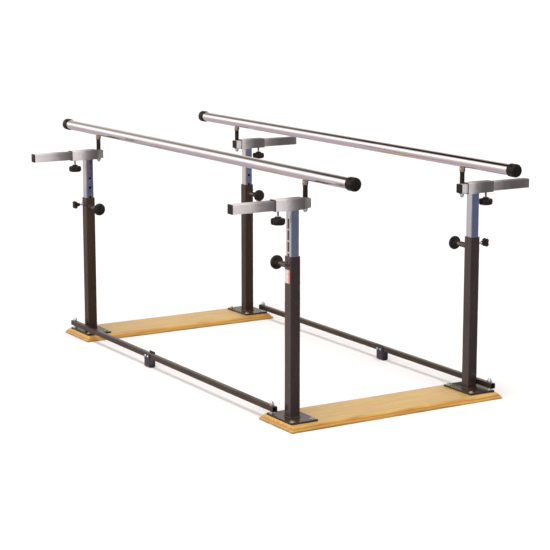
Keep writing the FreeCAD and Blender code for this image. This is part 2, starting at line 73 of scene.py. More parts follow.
UPRIGHTS_LOW, UPRIGHTS_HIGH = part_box("uprights_right")
OUTER_SIDE = UPRIGHTS_HIGH.x - UPRIGHTS_LOW.x
INNER_SIDE = size("arm_nr").x
POST_X = centre("uprights_right").x
POST_Y = UPRIGHTS_HIGH.y - OUTER_SIDE / 2
PLATE_TOP = UPRIGHTS_LOW.z
UPRIGHT_TOP = UPRIGHTS_HIGH.z
SLEEVE_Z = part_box("riser_nr")[1].z - OUTER_SIDE / 2
RAIL_R = size("rail_far").z / 2
RAIL_Y = centre("rail_far").y
RAIL_Z = centre("rail_far").z
PIN_Z = centre("height_pin_nr").z
SET_SCREW_Z = centre("set_screw_fr").z
CLAMP_Y = centre("clamp_screw_fr").y
STRINGER_SIDE = size("stringer_far").z
STRINGER_Z = centre("stringer_far").z

SLEEVE_LOW, SLEEVE_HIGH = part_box("riser_fr")
SLEEVE_ENDS = (SLEEVE_LOW.y, SLEEVE_HIGH.y)

OUTER_WALL = 2.77 * MM
INNER_WALL = 2.1 * MM
STRINGER_WALL = 1.65 * MM
TUBE_CORNER = 3.0 * MM
PIN_R = 4.76 * MM
SCREW_R = 4.0 * MM
CLEAR = 0.06 * MM
HOLE_PITCH = 38.1 * MM
HOLES_BELOW = 5
HOLES_ABOVE = 3
WASHER_R = 10.5 * MM
WASHER_THICK = 1.5 * MM
THREAD_PITCH = 1.25 * MM
WELD_RIPPLE = 5
LAG_FLATS = 11.1 * MM
NUT_FLATS = 14.3 * MM
NUT_FLATS_HEIGHT = 6.0 * MM
GAP = 0.3 * MM
BAND_SHIFT = 5.0 * MM

FIXING_DX = size("lag_washers_right").x / 2 - WASHER_R
FIXING_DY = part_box("lag_washers_right")[1].y - WASHER_R - POST_Y

# Outlines in millimetres: (radius, height) from the face that the piece stands on
DOME_HEAD = ((0, 0), (5.4, 0), (5.4, 1.3), (4.9, 2.4), (3.6, 3.3), (1.8, 3.75), (0, 3.8))
SCREW_BOSS = ((11.0, 0), (9.4, 1.2), (8.6, 2.5), (8.6, 6.5))
RIVET_END = ((0, 0), (2.6, 0), (4.0, 0.6), (4.6, 1.4), (4.6, 2.0), (3.0, 2.0))
PIN_NECK = 62.0
PIN_KNOB_NECK = ((0, 0), (8.0, 0), (8.4, 3.0), (9.8, 7.5))
PIN_KNOB_TOP = 30.0
CLAMP_KNOB = ((0, 18.5), (10.0, 18.5), (10.6, 19.2), (11.3, 22.0), (19.5, 23.6), (22.3, 24.6), (23.5, 26.2),
              (24.0, 28.4), (24.0, 37.6), (23.6, 40.0), (22.5, 42.2), (20.6, 44.0), (17.5, 45.2),
              (12.0, 45.9), (0, 46.0))
SET_KNOB = ((0, 22.0), (6.8, 22.0), (7.0, 22.6), (7.0, 32.0), (8.4, 33.2), (14.2, 34.2), (15.4, 35.2),
            (16.0, 36.8), (16.0, 43.2), (15.3, 44.9), (13.6, 46.0), (9.0, 46.4), (0, 46.5))

# The rim of the pin's knob: (share of its radius, height in millimetres)
PIN_KNOB_RIM = ((0.62, 10.6), (0.86, 12.0), (0.95, 13.4), (1.0, 15.8), (1.0, 19.0), (0.97, 21.6),
                (0.89, 24.2), (0.75, 26.7), (0.55, 28.6), (0.3, 29.7))


def post(corner, z=0.0):
    sx, sy = CORNERS[corner]
    return Vector((sx * POST_X, sy * POST_Y, z))


def pivot(sx, sy, z=0.0):
    """Fold pivot of one plate: the outer corner that faces -X on the near side, +X on the far."""
    return Vector((sx * POST_X + sy * FIXING_DX, sy * (POST_Y + FIXING_DY), z))


def fixings(sx, sy, z):
    """The three screw places of one plate."""
    places = []
    for i in (-1, 1):
        for j in (-1, 1):
            place = Vector((sx * POST_X + i * FIXING_DX, sy * POST_Y + j * FIXING_DY, z))
            if (place - pivot(sx, sy, z)).length > WASHER_R:
                places.append(place)
    return places


# Materials

def rgba(colour):
    """A colour with its alpha; a number stands for a grey."""
    return (*colour, 1.0) if hasattr(colour, "__len__") else (colour, colour, colour, 1.0)


class Graph:
    """Short calls for the nodes of one node tree."""

    def __init__(self, tree):
        self.tree = tree

    def feed(self, socket, value):
        """Link a node's output to a socket, or set the socket to a number or colour."""
        if hasattr(value, "links"):
            self.tree.links.new(value, socket)
        else:
            socket.default_value = rgba(value) if socket.type == "RGBA" else value

    def node(self, kind, **inputs):
        made = self.tree.nodes.new(kind)
        for name, value in inputs.items():
            self.feed(made.inputs[name.replace("_", " ")], value)
        return made

    def ramp(self, factor, *stops):
        """Colour ramp from (place, colour) stops."""
        made = self.node("ShaderNodeValToRGB", Fac=factor)
        elements = made.color_ramp.elements
        for index, (place, colour) in enumerate(stops):
            element = elements[index] if index < 2 else elements.new(place)
            element.position = place
            element.color = rgba(colour)
        return made.outputs["Color"]

    def blend(self, factor, first, second, mode="MIX"):
        made = self.tree.nodes.new("ShaderNodeMix")
        made.data_type = "RGBA"
        made.blend_type = mode
        for index, value in ((0, factor), (6, first), (7, second)):
            self.feed(made.inputs[index], value)
        return made.outputs[2]

    def sums(self, operation, first, second=0.0):
        made = self.tree.nodes.new("ShaderNodeMath")
        made.operation = operation
        self.feed(made.inputs[0], first)
        self.feed(made.inputs[1], second)
        return made.outputs[0]

    def times(self, first, second):
        return self.sums("MULTIPLY", first, second)


class Paint(Graph):
    """A principled material and the nodes that give it detail."""

    def __init__(self, name, colour, roughness, metallic=0.0):
        self.material = bpy.data.materials.new(name)
        self.material.use_nodes = True
        super().__init__(self.material.node_tree)
        self.shader = self.tree.nodes["Principled BSDF"]
        self.set("Base Color", rgba(colour))
        self.set("Roughness", roughness)
        self.set("Metallic", metallic)

    def set(self, socket, value):
        self.shader.inputs[socket].default_value = value

    def wire(self, output, socket):
        self.tree.links.new(output, self.shader.inputs[socket])

    def places(self, stretch=(1.0, 1.0, 1.0), shift=(0.0, 0.0, 0.0)):
        """Object coordinates in metres, stretched per axis."""
        source = self.tree.nodes.new("ShaderNodeTexCoord").outputs["Object"]
        return self.node("ShaderNodeMapping", Vector=source, Scale=stretch, Location=shift).outputs[0]

    def noise(self, scale, detail=3.0, rough=0.55, twist=0.0, **mapping):
        return self.node("ShaderNodeTexNoise", Vector=self.places(**mapping), Scale=scale, Detail=detail,
                         Roughness=rough, Distortion=twist).outputs["Fac"]

    def axes(self):
        """X, Y and Z of the object coordinates."""
        return self.node("ShaderNodeSeparateXYZ", Vector=self.places()).outputs

    def relief(self, height, strength, depth):
        made = self.node("ShaderNodeBump", Height=height, Strength=strength, Distance=depth)
        self.wire(made.outputs[0], "Normal")


def oak():
    """Honey oak under satin varnish: growth bands along Y, fine pores, darker streaks on the bevels, and a
    painted contact shadow as a dark line along the very bottom edge.
    """
    paint = Paint("oak", (0.6, 0.4, 0.2), 0.4)
    waver = paint.noise(8.0, 2.0, stretch=(1.0, 0.22, 1.0))
    axes = paint.axes()
    ring_tilt = 2.4
    rings_per_metre = 330.0
    ring_waver = 34.0
    slant = paint.sums("ADD", axes[0], paint.times(axes[2], ring_tilt))
    bands = paint.sums("ADD", paint.times(slant, rings_per_metre), paint.times(waver, ring_waver))
    band = paint.sums("ADD", paint.times(paint.sums("SINE", bands), 0.5), 0.5)
    pores = paint.noise(1100.0, 4.0, 0.65, stretch=(1.0, 0.03, 1.0))
    figure = paint.noise(60.0, 4.0, 0.6, stretch=(1.0, 0.12, 1.0))
    growth = paint.ramp(band, (0.0, (0.60, 0.40, 0.125)), (0.6, (0.565, 0.365, 0.105)),
                        (1.0, (0.47, 0.265, 0.055)))
    flame = paint.ramp(figure, (0.35, (0.46, 0.27, 0.065)), (0.65, (0.68, 0.485, 0.18)))
    varied = paint.blend(0.5, growth, flame)
    pored = paint.blend(paint.ramp(pores, (0.54, 0.0), (0.74, 0.6)), varied, (0.32, 0.165, 0.04))
    levels_per_metre = 50.0
    level = paint.times(axes[2], levels_per_metre)
    streak_and_shadow_height = paint.sums("ADD", level, paint.times(paint.sums("SUBTRACT", figure, 0.5), 0.45))
    # Painted shadow: the first stops paint a dark line along the bottom edge as a contact shadow; the later
    # stops are the darker streaks on the bevel.
    edge = paint.ramp(streak_and_shadow_height, (0.02, (0.16, 0.11, 0.07)), (0.07, (0.66, 0.54, 0.33)),
                      (0.28, (0.80, 0.69, 0.46)), (0.42, (0.92, 0.80, 0.55)), (0.52, (0.72, 0.46, 0.17)),
                      (0.60, (0.74, 0.49, 0.20)), (0.68, (0.92, 0.79, 0.50)), (0.90, (0.98, 0.90, 0.66)))
    lower = paint.ramp(level, (0.955, 1.0), (0.985, 0.0))
    paint.wire(paint.blend(lower, pored, paint.blend(1.0, pored, edge, "MULTIPLY")), "Base Color")
    paint.wire(paint.ramp(figure, (0.3, 0.34), (0.7, 0.48)), "Roughness")
    paint.set("Coat Weight", 0.15)
    paint.set("Coat Roughness", 0.25)
    paint.relief(pores, 0.4, 0.0003)
    return paint.material


def bronze_paint(name, dark, light, coat, level):
    """Bronze-brown enamel with a little orange peel and fine rubbed marks."""
    paint = Paint(name, (0.03, 0.02, 0.016), 0.26)
    wide = paint.noise(9.0, 3.0, stretch=(1.0, 1.0, 0.25))
    base = paint.ramp(wide, (0.3, dark), (0.72, light))
    rubs = paint.noise(240.0, 5.0, 0.65, stretch=(1.0, 1.0, 0.1))
    rubbed = paint.ramp(rubs, (0.64, 0.0), (0.85, 0.10))
    paint.wire(paint.blend(rubbed, base, (0.10, 0.072, 0.058)), "Base Color")
    paint.wire(paint.ramp(rubs, (0.3, 0.24), (0.8, 0.29)), "Roughness")
    paint.set("Coat Weight", coat)
    paint.set("Coat Roughness", 0.12)
    paint.set("Specular IOR Level", level)
    paint.relief(paint.noise(260.0, 2.0), 0.025, 0.0003)
    return paint.material


def black_paint():
    """Black enamel, a little mottled."""
    paint = Paint("black_paint", (0.016, 0.012, 0.015), 0.32)
    wide = paint.noise(38.0, 5.0, 0.6)
    paint.wire(paint.ramp(wide, (0.35, (0.011, 0.009, 0.011)), (0.75, (0.030, 0.023, 0.029))), "Base Color")
    paint.wire(paint.ramp(wide, (0.3, 0.25), (0.7, 0.42)), "Roughness")
    paint.relief(paint.noise(600.0), 0.15, 0.0003)
    return paint.material


def brushed(name, colour, dark, roughness, stretch, painted_sheen=None, shadowed_ends=None):
    """Metal with fine brushing and faint handling marks. The painted sheen is (wavelength, bright place)
    along Y:
    a painted sheen that turns slowly from bright to dark along a face's length. The shadowed ends are the two
    distances from the middle, along Y, of the ends, which are painted dark as the shadow in the gap there."""
    paint = Paint(name, colour, roughness, 1.0)
    lines = paint.noise(900.0, 3.0, 0.6, stretch=stretch)
    blotch = paint.noise(26.0, 4.0)
    metal = paint.ramp(paint.blend(0.5, lines, blotch), (0.3, dark), (0.7, colour))
    if painted_sheen:
        length, bright = painted_sheen
        along = paint.axes()[1]
        # Painted sheen: the colour is multiplied by a slow wave along Y, bright to dark, standing in for the
        # reflection along the brushed face.
        turns = paint.times(paint.sums("SUBTRACT", along, bright), 2 * math.pi / length)
        wavy = paint.sums("ADD", turns, paint.times(blotch, 0.9))
        wave = paint.sums("ADD", paint.times(paint.sums("COSINE", wavy), 0.5), 0.5)
        shade = paint.ramp(wave, (0.04, (0.15, 0.145, 0.148)), (0.36, (0.36, 0.35, 0.35)),
                           (0.66, 0.84), (0.9, 1.0))
        metal = paint.blend(1.0, metal, shade, "MULTIPLY")
        paint.set("Metallic", 0.55)
    if shadowed_ends:
        # Painted shadow: the last 1.2 mm at each end of the sleeve is painted near black, for the shade in
        # the gap where the arm comes out.
        inner, outer = shadowed_ends
        along = paint.sums("ABSOLUTE", paint.axes()[1])
        reach = paint.sums("ABSOLUTE", paint.sums("SUBTRACT", along, (inner + outer) / 2))
        end_shadow_depth = 1.2 * MM
        end_shadow = paint.sums("GREATER_THAN", reach, (outer - inner) / 2 - end_shadow_depth)
        metal = paint.blend(end_shadow, metal, (0.035, 0.030, 0.028))
    paint.wire(metal, "Base Color")
    spread = paint.ramp(blotch, (0.3, roughness * 0.8), (0.7, roughness * 1.25))
    paint.wire(spread, "Roughness")
    paint.set("Anisotropic", 0.35)
    paint.relief(lines, 0.10, 0.00015)
    return paint.material


def chrome():
    """Bright plating, faintly bluish in places; the tubes' insides are painted dark, a painted shade in the
    bore.
    """
    paint = Paint("chrome", (0.80, 0.80, 0.82), 0.07, 1.0)
    offsets = [paint.sums("ABSOLUTE", paint.sums("SUBTRACT", paint.sums("ABSOLUTE", axis), middle))
               for axis, middle in zip(paint.axes(), (POST_X, POST_Y))]
    shaded_bore = paint.sums("LESS_THAN", paint.sums("MAXIMUM", *offsets), INNER_SIDE / 2 - 0.5 * MM)
    smudge = paint.noise(30.0, 5.0, 0.6)
    cast = paint.noise(6.5, 1.0, stretch=(1.6, 1.0, 1.0), shift=(0.31, 0.0, 0.12))
    tone = paint.ramp(cast, (0.42, (0.57, 0.60, 0.68)), (0.60, (0.76, 0.73, 0.71)))
    plated = paint.blend(0.25, tone, paint.ramp(smudge, (0.3, 0.70), (0.7, 0.88)))
    # Painted shade: the faces inside the tube, seen through the holes, are painted near black.
    paint.wire(paint.blend(shaded_bore, plated, (0.045, 0.040, 0.038)), "Base Color")
    paint.wire(paint.ramp(smudge, (0.42, 0.06), (0.68, 0.18)), "Roughness")
    paint.relief(paint.noise(120.0, 2.0, stretch=(1.0, 1.0, 0.3)), 0.05, 0.0004)
    return paint.material


def rail_steel():
    """Polished stainless tube: faint lengthwise polish lines and finger marks."""
    paint = Paint("rail_steel", (0.77, 0.74, 0.745), 0.16, 1.0)
    lines = paint.noise(700.0, 3.0, 0.6, stretch=(0.02, 1.0, 1.0))
    marks = paint.noise(22.0, 5.0, 0.6, stretch=(0.6, 1.0, 1.0))
    tone = paint.ramp(paint.blend(0.5, lines, marks), (0.3, (0.70, 0.67, 0.675)),
                      (0.7, (0.80, 0.775, 0.78)))
    paint.wire(tone, "Base Color")
    paint.wire(paint.ramp(marks, (0.38, 0.08), (0.7, 0.17)), "Roughness")
    paint.relief(lines, 0.05, 0.0001)
    return paint.material


def zinc(name, colour, tint):
    """Plated steel: colour drifts a little from place to place."""
    paint = Paint(name, colour, 0.3, 1.0)
    drift = paint.noise(160.0, 3.0, 0.6, 1.0)
    paint.wire(paint.ramp(drift, (0.35, colour), (0.65, tint)), "Base Color")
    paint.wire(paint.ramp(drift, (0.3, 0.16), (0.7, 0.32)), "Roughness")
    paint.relief(paint.noise(1500.0), 0.08, 0.0002)
    return paint.material


def moulded(name, dark, light, roughness, grain):
    """Moulded plastic or rubber with a fine grain, scuffs and dust."""
    paint = Paint(name, dark, roughness)
    scuffs = paint.noise(90.0, 6.0, 0.65)
    paint.wire(paint.ramp(scuffs, (0.42, dark), (0.72, light)), "Base Color")
    paint.wire(paint.ramp(scuffs, (0.3, roughness * 0.8), (0.7, min(1.0, roughness * 1.3))), "Roughness")
    paint.set("Specular IOR Level", 0.16)
    paint.relief(paint.noise(grain, 2.0), 0.2, 0.0002)
    return paint.material


def strip_film():
    """Dark film with a pale tick once in every hole pitch."""
    paint = Paint("scale_strip", (0.02, 0.015, 0.013), 0.35)
    steps = paint.sums("DIVIDE", paint.sums("SUBTRACT", paint.axes()[2], SET_SCREW_Z), HOLE_PITCH)
    from_middle = paint.sums("ABSOLUTE", paint.sums("SUBTRACT", paint.sums("FRACT", steps), 0.5))
    tick = paint.ramp(from_middle, (0.42, 0.0), (0.44, 1.0))
    wear = paint.noise(300.0, 4.0)
    dark = paint.ramp(wear, (0.3, (0.016, 0.012, 0.010)), (0.7, (0.035, 0.026, 0.022)))
    paint.wire(paint.blend(tick, dark, (0.45, 0.42, 0.40)), "Base Color")
    paint.wire(paint.ramp(wear, (0.3, 0.28), (0.7, 0.45)), "Roughness")
    return paint.material


def label_film():
    """Blank white sticker with a red band along the edge nearer the walkway's end."""
    paint = Paint("blank_label", (0.85, 0.84, 0.83), 0.4)
    wear = paint.noise(120.0, 5.0, 0.65)
    paper = paint.ramp(wear, (0.3, (0.42, 0.41, 0.41)), (0.6, (0.62, 0.61, 0.61)))
    red = paint.ramp(wear, (0.3, (0.62, 0.10, 0.13)), (0.6, (0.80, 0.17, 0.20)))
    band = paint.sums("GREATER_THAN", paint.axes()[0], POST_X + BAND_SHIFT)
    paint.wire(paint.blend(band, paper, red), "Base Color")
    paint.wire(paint.ramp(wear, (0.3, 0.34), (0.7, 0.5)), "Roughness")
    return paint.material


MATERIALS = {
    "scale_strip": strip_film(),
    "blank_label": label_film(),
    "oak": oak(),
    "bronze_paint": bronze_paint("bronze_paint", (0.024, 0.014, 0.0095), (0.038, 0.0235, 0.017), 0.35, 0.5),
    "dull_bronze": bronze_paint("dull_bronze", (0.030, 0.018, 0.0105), (0.048, 0.031, 0.019), 0.0, 0.25),
    "black_paint": black_paint(),
    "yellow_zinc": zinc("yellow_zinc", (0.58, 0.42, 0.16), (0.44, 0.33, 0.19)),
    "aged_zinc": zinc("aged_zinc", (0.38, 0.33, 0.25), (0.22, 0.18, 0.13)),
    "bright_zinc": zinc("bright_zinc", (0.62, 0.68, 0.70), (0.46, 0.56, 0.60)),
    "chrome": chrome(),
    "satin_steel": brushed("satin_steel", (0.93, 0.91, 0.90), (0.78, 0.76, 0.745), 0.46, (1.0, 1.0, 0.03),
                           painted_sheen=(0.248, -0.434), shadowed_ends=SLEEVE_ENDS),
    "satin_arm": brushed("satin_arm", (0.90, 0.88, 0.86), (0.76, 0.74, 0.725), 0.46, (1.0, 0.03, 1.0),
                         painted_sheen=(0.473, -0.602)),
    "rail_steel": rail_steel(),
    "black_plastic": moulded("black_plastic", (0.007, 0.006, 0.005), (0.026, 0.020, 0.015), 0.34, 900.0),
    "black_rubber": moulded("black_rubber", (0.004, 0.0035, 0.003), (0.016, 0.013, 0.010), 0.38, 1200.0),
    "spring_steel": brushed("spring_steel", (0.45, 0.45, 0.46), (0.33, 0.33, 0.34), 0.35, (1.0, 1.0, 1.0)),
}


# Shapes, built on the origin along +Z

def in_metres(outline, up=0.0):
    return [(radius * MM, up + height * MM) for radius, height in outline]


def skinned(bm, rings, count, closed):
    """Faces between neighbouring rings; a ring of a single vertex is a tip."""
    pairs = list(zip(rings, rings[1:]))
    if closed:
        pairs.append((rings[-1], rings[0]))
    for first, second in pairs:
        for k in range(count):
            after = (k + 1) % count
            corners = [first[k % len(first)], first[after % len(first)],
                       second[after % len(second)], second[k % len(second)]]
            unique = list(dict.fromkeys(corners))
            if len(unique) > 2:
                bm.faces.new(unique)
    return bm


def turned(stations, segments=48, closed=False):
    """Solid about +Z from (radius, height) stations; a radius may be a function of the angle.
    A first or last radius of 0 closes the end. A closed outline runs back to its start, as in a washer."""
    bm = bmesh.new()
    rings = []
    for radius, height in stations:
        if radius == 0:
            rings.append([bm.verts.new((0, 0, height))])
            continue
        ring = []
        for k in range(segments):
            angle = 2 * math.pi * k / segments
            r = radius(angle) if callable(radius) else radius
            ring.append(bm.verts.new((r * math.cos(angle), r * math.sin(angle), height)))
        rings.append(ring)
    return skinned(bm, rings, segments, closed)


def washer(outer, inner, thick, segments=48):
    return turned([(inner, 0), (outer, 0), (outer, thick), (inner, thick)], segments, closed=True)


def hexagon(across_flats):
    """Radius of a hexagon at an angle."""
    def radius(angle):
        return across_flats / 2 / math.cos((angle + math.pi / 6) % (math.pi / 3) - math.pi / 6)
    return radius


def trimmed(radius, limit):
    return lambda angle: min(radius(angle), limit)


def fluted(outer, count, centre_r, flute_r):
    """Radius of a disc with round hollows down its side, softened where they meet the rim."""
    def radius(angle):
        step = 2 * math.pi / count
        away = (angle + step / 2) % step - step / 2
        reach = flute_r ** 2 - (centre_r * math.sin(away)) ** 2
        if reach <= 0:
            return outer
        hollow = centre_r * math.cos(away) - math.sqrt(reach)
        soft = 0.12 * flute_r
        gap = max(soft - abs(outer - hollow), 0.0) / soft
        return min(outer, hollow) - gap * gap * soft / 4
    return radius


def hex_head(across_flats, height):
    """Hexagon with its upper corners turned down."""
    flats = hexagon(across_flats)
    round_corners = trimmed(flats, across_flats * 0.53)
    top = 0.49 * across_flats
    return turned([(0, 0), (flats, 0), (flats, height * 0.72), (round_corners, height * 0.88),
                   (top, height), (0, height)])


def acorn(across_flats, flats_height, height):
    """Domed nut: flats, a waist and a round crown."""
    flats = hexagon(across_flats)
    crown_r = across_flats / 2 * 0.9
    crown_z = flats_height + 0.3 * MM
    stations = [(0, 0), (trimmed(flats, across_flats * 0.53), 0), (flats, flats_height * 0.15),
                (flats, flats_height * 0.8), (trimmed(flats, across_flats * 0.52), flats_height),
                (crown_r, crown_z)]
    steps = 9
    for k in range(1, steps):
        angle = math.pi / 2 * k / steps
        stations.append((crown_r * math.cos(angle), crown_z + (height - crown_z) * math.sin(angle)))
    stations.append((0, height))
    return turned(stations)


def threaded(radius, pitch, length):
    """Screw thread as a helical ripple."""
    steps = 6
    depth = 0.3 * pitch

    def crest(height):
        return lambda angle: radius - depth * (0.5 - 0.5 * math.cos(2 * math.pi * height / pitch - angle))

    count = int(length / pitch * steps)
    heights = [length * k / count for k in range(count + 1)]
    return turned([(0, 0), *((crest(h), h) for h in heights), (0, length)], segments=20)


def rounded_square(side_x, side_y, corner, steps=4):
    """Points round a rectangle with round corners, anticlockwise."""
    points = []
    for quarter, (i, j) in enumerate(((1, 1), (-1, 1), (-1, -1), (1, -1))):
        for k in range(steps + 1):
            angle = math.pi / 2 * (quarter + k / steps)
            points.append((i * (side_x / 2 - corner) + corner * math.cos(angle),
                           j * (side_y / 2 - corner) + corner * math.sin(angle)))
    return points


def sections(loops, closed=False):
    """Skin over loops of equally many points; the ends are capped unless the skin is closed."""
    bm = bmesh.new()
    rings = [[bm.verts.new(p) for p in loop] for loop in loops]
    if not closed:
        bm.faces.new(rings[0])
        bm.faces.new(rings[-1])
    return skinned(bm, rings, len(rings[0]), closed)


def raised(outline, z):
    return [(x, y, z) for x, y in outline]


def square_tube(side, wall, length):
    """Tube with round corners; the bore's corners are a little fuller than an even wall makes them."""
    outer = rounded_square(side, side, TUBE_CORNER)
    bore = rounded_square(side - 2 * wall, side - 2 * wall, TUBE_CORNER - wall + 0.6 * MM)
    loops = (raised(outer, 0), raised(outer, length), raised(bore, length), raised(bore, 0))
    return sections(loops, closed=True)


def block(side_x, side_y, height, corner):
    outline = rounded_square(side_x, side_y, corner)
    return sections([raised(outline, 0), raised(outline, height)])


def bead(path, radius, ripple, swell=0.16):
    """Closed weld bead along a loop of points, with the overlapping ripples that a weld leaves."""
    sides = 8
    loops = []
    count = len(path)
    for k, point in enumerate(path):
        along = (path[(k + 1) % count] - path[k - 1]).normalized()
        outward = along.cross(Z)
        phase = (k % ripple) / ripple
        r = radius * (1 + swell * (math.sin(math.pi * phase) - 0.5))
        loops.append([point + r * (math.cos(a) * outward + math.sin(a) * Z)
                      for a in (2 * math.pi * i / sides for i in range(sides))])
    return sections(loops, closed=True)


def resampled(points, spacing):
    """Points at even spacing round a closed outline."""
    corners = [Vector((x, y, 0)) for x, y in points]
    path = []
    for k, start in enumerate(corners):
        end = corners[(k + 1) % len(corners)]
        steps = max(1, round((end - start).length / spacing))
        path.extend(start.lerp(end, i / steps) for i in range(steps))
    return path


def weld_round(side, out, spacing, radius):
    """Weld bead round a square tube, with its centre a little outside the tube's faces."""
    outline = rounded_square(side + 2 * out, side + 2 * out, TUBE_CORNER)
    return bead(resampled(outline, spacing), radius, WELD_RIPPLE)


def placed(bm, start, direction=Z, spin=0.0):
    """Stand a shape on a point so that its +Z runs in a direction, after a turn about its own axis."""
    turn = Z.rotation_difference(direction).to_matrix().to_4x4()
    bmesh.ops.rotate(bm, verts=bm.verts, matrix=Matrix.Rotation(spin, 4, "Z"))
    bmesh.ops.transform(bm, verts=bm.verts, matrix=turn)
    bmesh.ops.translate(bm, verts=bm.verts, vec=start)
    return bm


def joined(*parts):
    """Several shapes in one mesh."""
    whole = bmesh.new()
    for part in parts:
        mesh = bpy.data.meshes.new("part")
        part.to_mesh(mesh)
        part.free()
        whole.from_mesh(mesh)
        bpy.data.meshes.remove(mesh)
    return whole


def holder(bm):
    bmesh.ops.recalc_face_normals(bm, faces=bm.faces)
    mesh = bpy.data.meshes.new("shape")
    bm.to_mesh(mesh)
    bm.free()
    made = bpy.data.objects.new("shape", mesh)
    bpy.context.scene.collection.objects.link(made)
    return made


def carved(bm, *cutters):
    """A shape with others cut out of it."""
    target = holder(bm)
    tools = [holder(cutter) for cutter in cutters]
    for tool in tools:
        cut = target.modifiers.new("cut", "BOOLEAN")
        cut.operation = "DIFFERENCE"
        cut.solver = "EXACT"
        cut.object = tool
    result = bmesh.new()
    result.from_object(target, bpy.context.evaluated_depsgraph_get())
    for made in [target, *tools]:
        mesh = made.data
        bpy.data.objects.remove(made)
        bpy.data.meshes.remove(mesh)
    return result


def rod(radius, length):
    return turned([(0, 0), (radius, 0), (radius, length), (0, length)], 32)


def drill(start, direction, radius, length):
    return placed(rod(radius, length), start, direction)


def piece(name, bm, slot, body, nodes=(), edge=0.3, rounds=2, crease=38.0):
    """Turn a shape into a named piece that rides on a body: smooth faces, and edges rounded by a width
    in millimetres."""
    made = holder(bm)
    made.name = name
    made.data.name = name
    made.data.materials.append(MATERIALS[slot])
    made.data.polygons.foreach_set("use_smooth", [True] * len(made.data.polygons))
    if edge:
        bevel = made.modifiers.new("rounded_edges", "BEVEL")
        bevel.width = edge * MM
        bevel.segments = rounds
        bevel.limit_method = "ANGLE"
        bevel.angle_limit = math.radians(crease)
        bevel.use_clamp_overlap = True
        shade = made.modifiers.new("even_shading", "WEIGHTED_NORMAL")
        shade.weight = 60
        shade.keep_sharp = True
    else:
        made.data.set_sharp_from_angle(angle=math.radians(crease))
    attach(made, body)
    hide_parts(*nodes)
    return made


# Bases

def plank(base, sx):
    """Bevelled board with softened edges."""
    low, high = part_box("plank_" + base)
    lower_edge = 5.0 * MM
    bevel = 13.0 * MM
    wide = high - low
    corner = 2.2 * MM
    loops = []
    for inset, z in ((0.0, 0.0), (0.0, lower_edge), (bevel, wide.z)):
        loops.append(raised(rounded_square(wide.x - 2 * inset, wide.y - 2 * inset, corner, 3), z))
    middle = Vector((sx * POST_X, (low.y + high.y) / 2, low.z))
    piece("plank_board_" + base, placed(sections(loops), middle), "oak", "base_" + base,
          ["plank_" + base], edge=1.3, rounds=4, crease=20.0)


def base_plate(base, corner):
    low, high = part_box("base_plates_" + base)
    wide = high.x - low.x
    deep = 2 * (high.y - POST_Y)
    shape = placed(block(wide, deep, high.z - low.z, 4.0 * MM), post(corner, low.z))
    piece("base_plate_" + corner, shape, "dull_bronze", "base_" + base,
          ["base_plates_" + base], edge=0.9, rounds=3)


def upright(base, corner):
    sx, sy = CORNERS[corner]
    tube = placed(square_tube(OUTER_SIDE, OUTER_WALL, UPRIGHT_TOP - PLATE_TOP), post(corner, PLATE_TOP))
    tube = carved(tube,
                  drill(post(corner, PIN_Z), X * -sx, PIN_R + CLEAR, OUTER_SIDE),
                  drill(post(corner, SET_SCREW_Z), Y * sy, SCREW_R + CLEAR, OUTER_SIDE))
    slot = "dull_bronze" if base == "left" else "bronze_paint"
    piece("upright_" + corner, tube, slot, "base_" + base, ["uprights_" + base], edge=0.5)
    out = 0.6 * MM
    weld = weld_round(OUTER_SIDE, out, spacing=0.9 * MM, radius=2.3 * MM)
    piece("upright_weld_" + corner, placed(weld, post(corner, PLATE_TOP + out)), "bronze_paint",
          "base_" + base, edge=0)


def circle(radius, spacing):
    """Points at even spacing round a circle."""
    count = round(2 * math.pi * radius / spacing)
    return [Vector((radius * math.cos(a), radius * math.sin(a), 0))
            for a in (2 * math.pi * k / count for k in range(count))]


def fittings(base, corner):
    """Pin barrel with its weld, and screw boss."""
    sx, sy = CORNERS[corner]
    node = "weld_fittings_" + base
    face = post(corner, PIN_Z) - X * sx * OUTER_SIDE / 2
    reach = 44.0 * MM
    r = 9.6 * MM
    bore = 7.0 * MM
    end = 6.0 * MM
    chamfer = 1.6 * MM
    pin_hole = PIN_R + CLEAR
    barrel = turned([(bore, 0), (r, 0), (r, reach - chamfer), (r - chamfer, reach), (pin_hole, reach),
                     (pin_hole, reach - end), (bore, reach - end)], 64, closed=True)
    piece("pin_barrel_" + corner, placed(barrel, face, X * -sx), "bronze_paint", "base_" + base,
          [node], edge=0.4)
    weld = bead(circle(r + 0.4 * MM, spacing=0.8 * MM), radius=2.0 * MM, ripple=WELD_RIPPLE)
    piece("pin_barrel_weld_" + corner, placed(weld, face, X * -sx), "bronze_paint", "base_" + base, edge=0)
    boss_face = post(corner, SET_SCREW_Z) + Y * sy * OUTER_SIDE / 2
    hole = SCREW_R + CLEAR
    outline = in_metres(SCREW_BOSS)
    boss = turned([(hole, 0), *outline, (hole, outline[-1][1])], closed=True)
    piece("screw_boss_" + corner, placed(boss, boss_face, Y * sy), "bronze_paint", "base_" + base,
          [node], edge=0.5)


def fasteners(base, corner):
    """The three lag screws of one plate and their washers; each head is turned its own way."""
    sx, sy = CORNERS[corner]
    low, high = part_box("lag_screws_" + base)
    body = "base_" + base
    head_z = PLATE_TOP + WASHER_THICK
    lag_pitch = 2.6 * MM
    for index, place in enumerate(fixings(sx, sy, PLATE_TOP), 1):
        label = corner + "_" + str(index)
        flat = placed(washer(WASHER_R, SCREW_R, WASHER_THICK), place)
        piece("lag_washer_" + label, flat, "bright_zinc", body, ["lag_washers_" + base])
        spin = 0.4 + 1.3 * index + sx
        head = placed(hex_head(LAG_FLATS, high.z - head_z), place + Z * WASHER_THICK, Z, spin)
        shank = placed(threaded(SCREW_R, lag_pitch, head_z - low.z), Vector((place.x, place.y, low.z)))
        piece("lag_screw_" + label, joined(head, shank), "yellow_zinc", body, ["lag_screws_" + base])


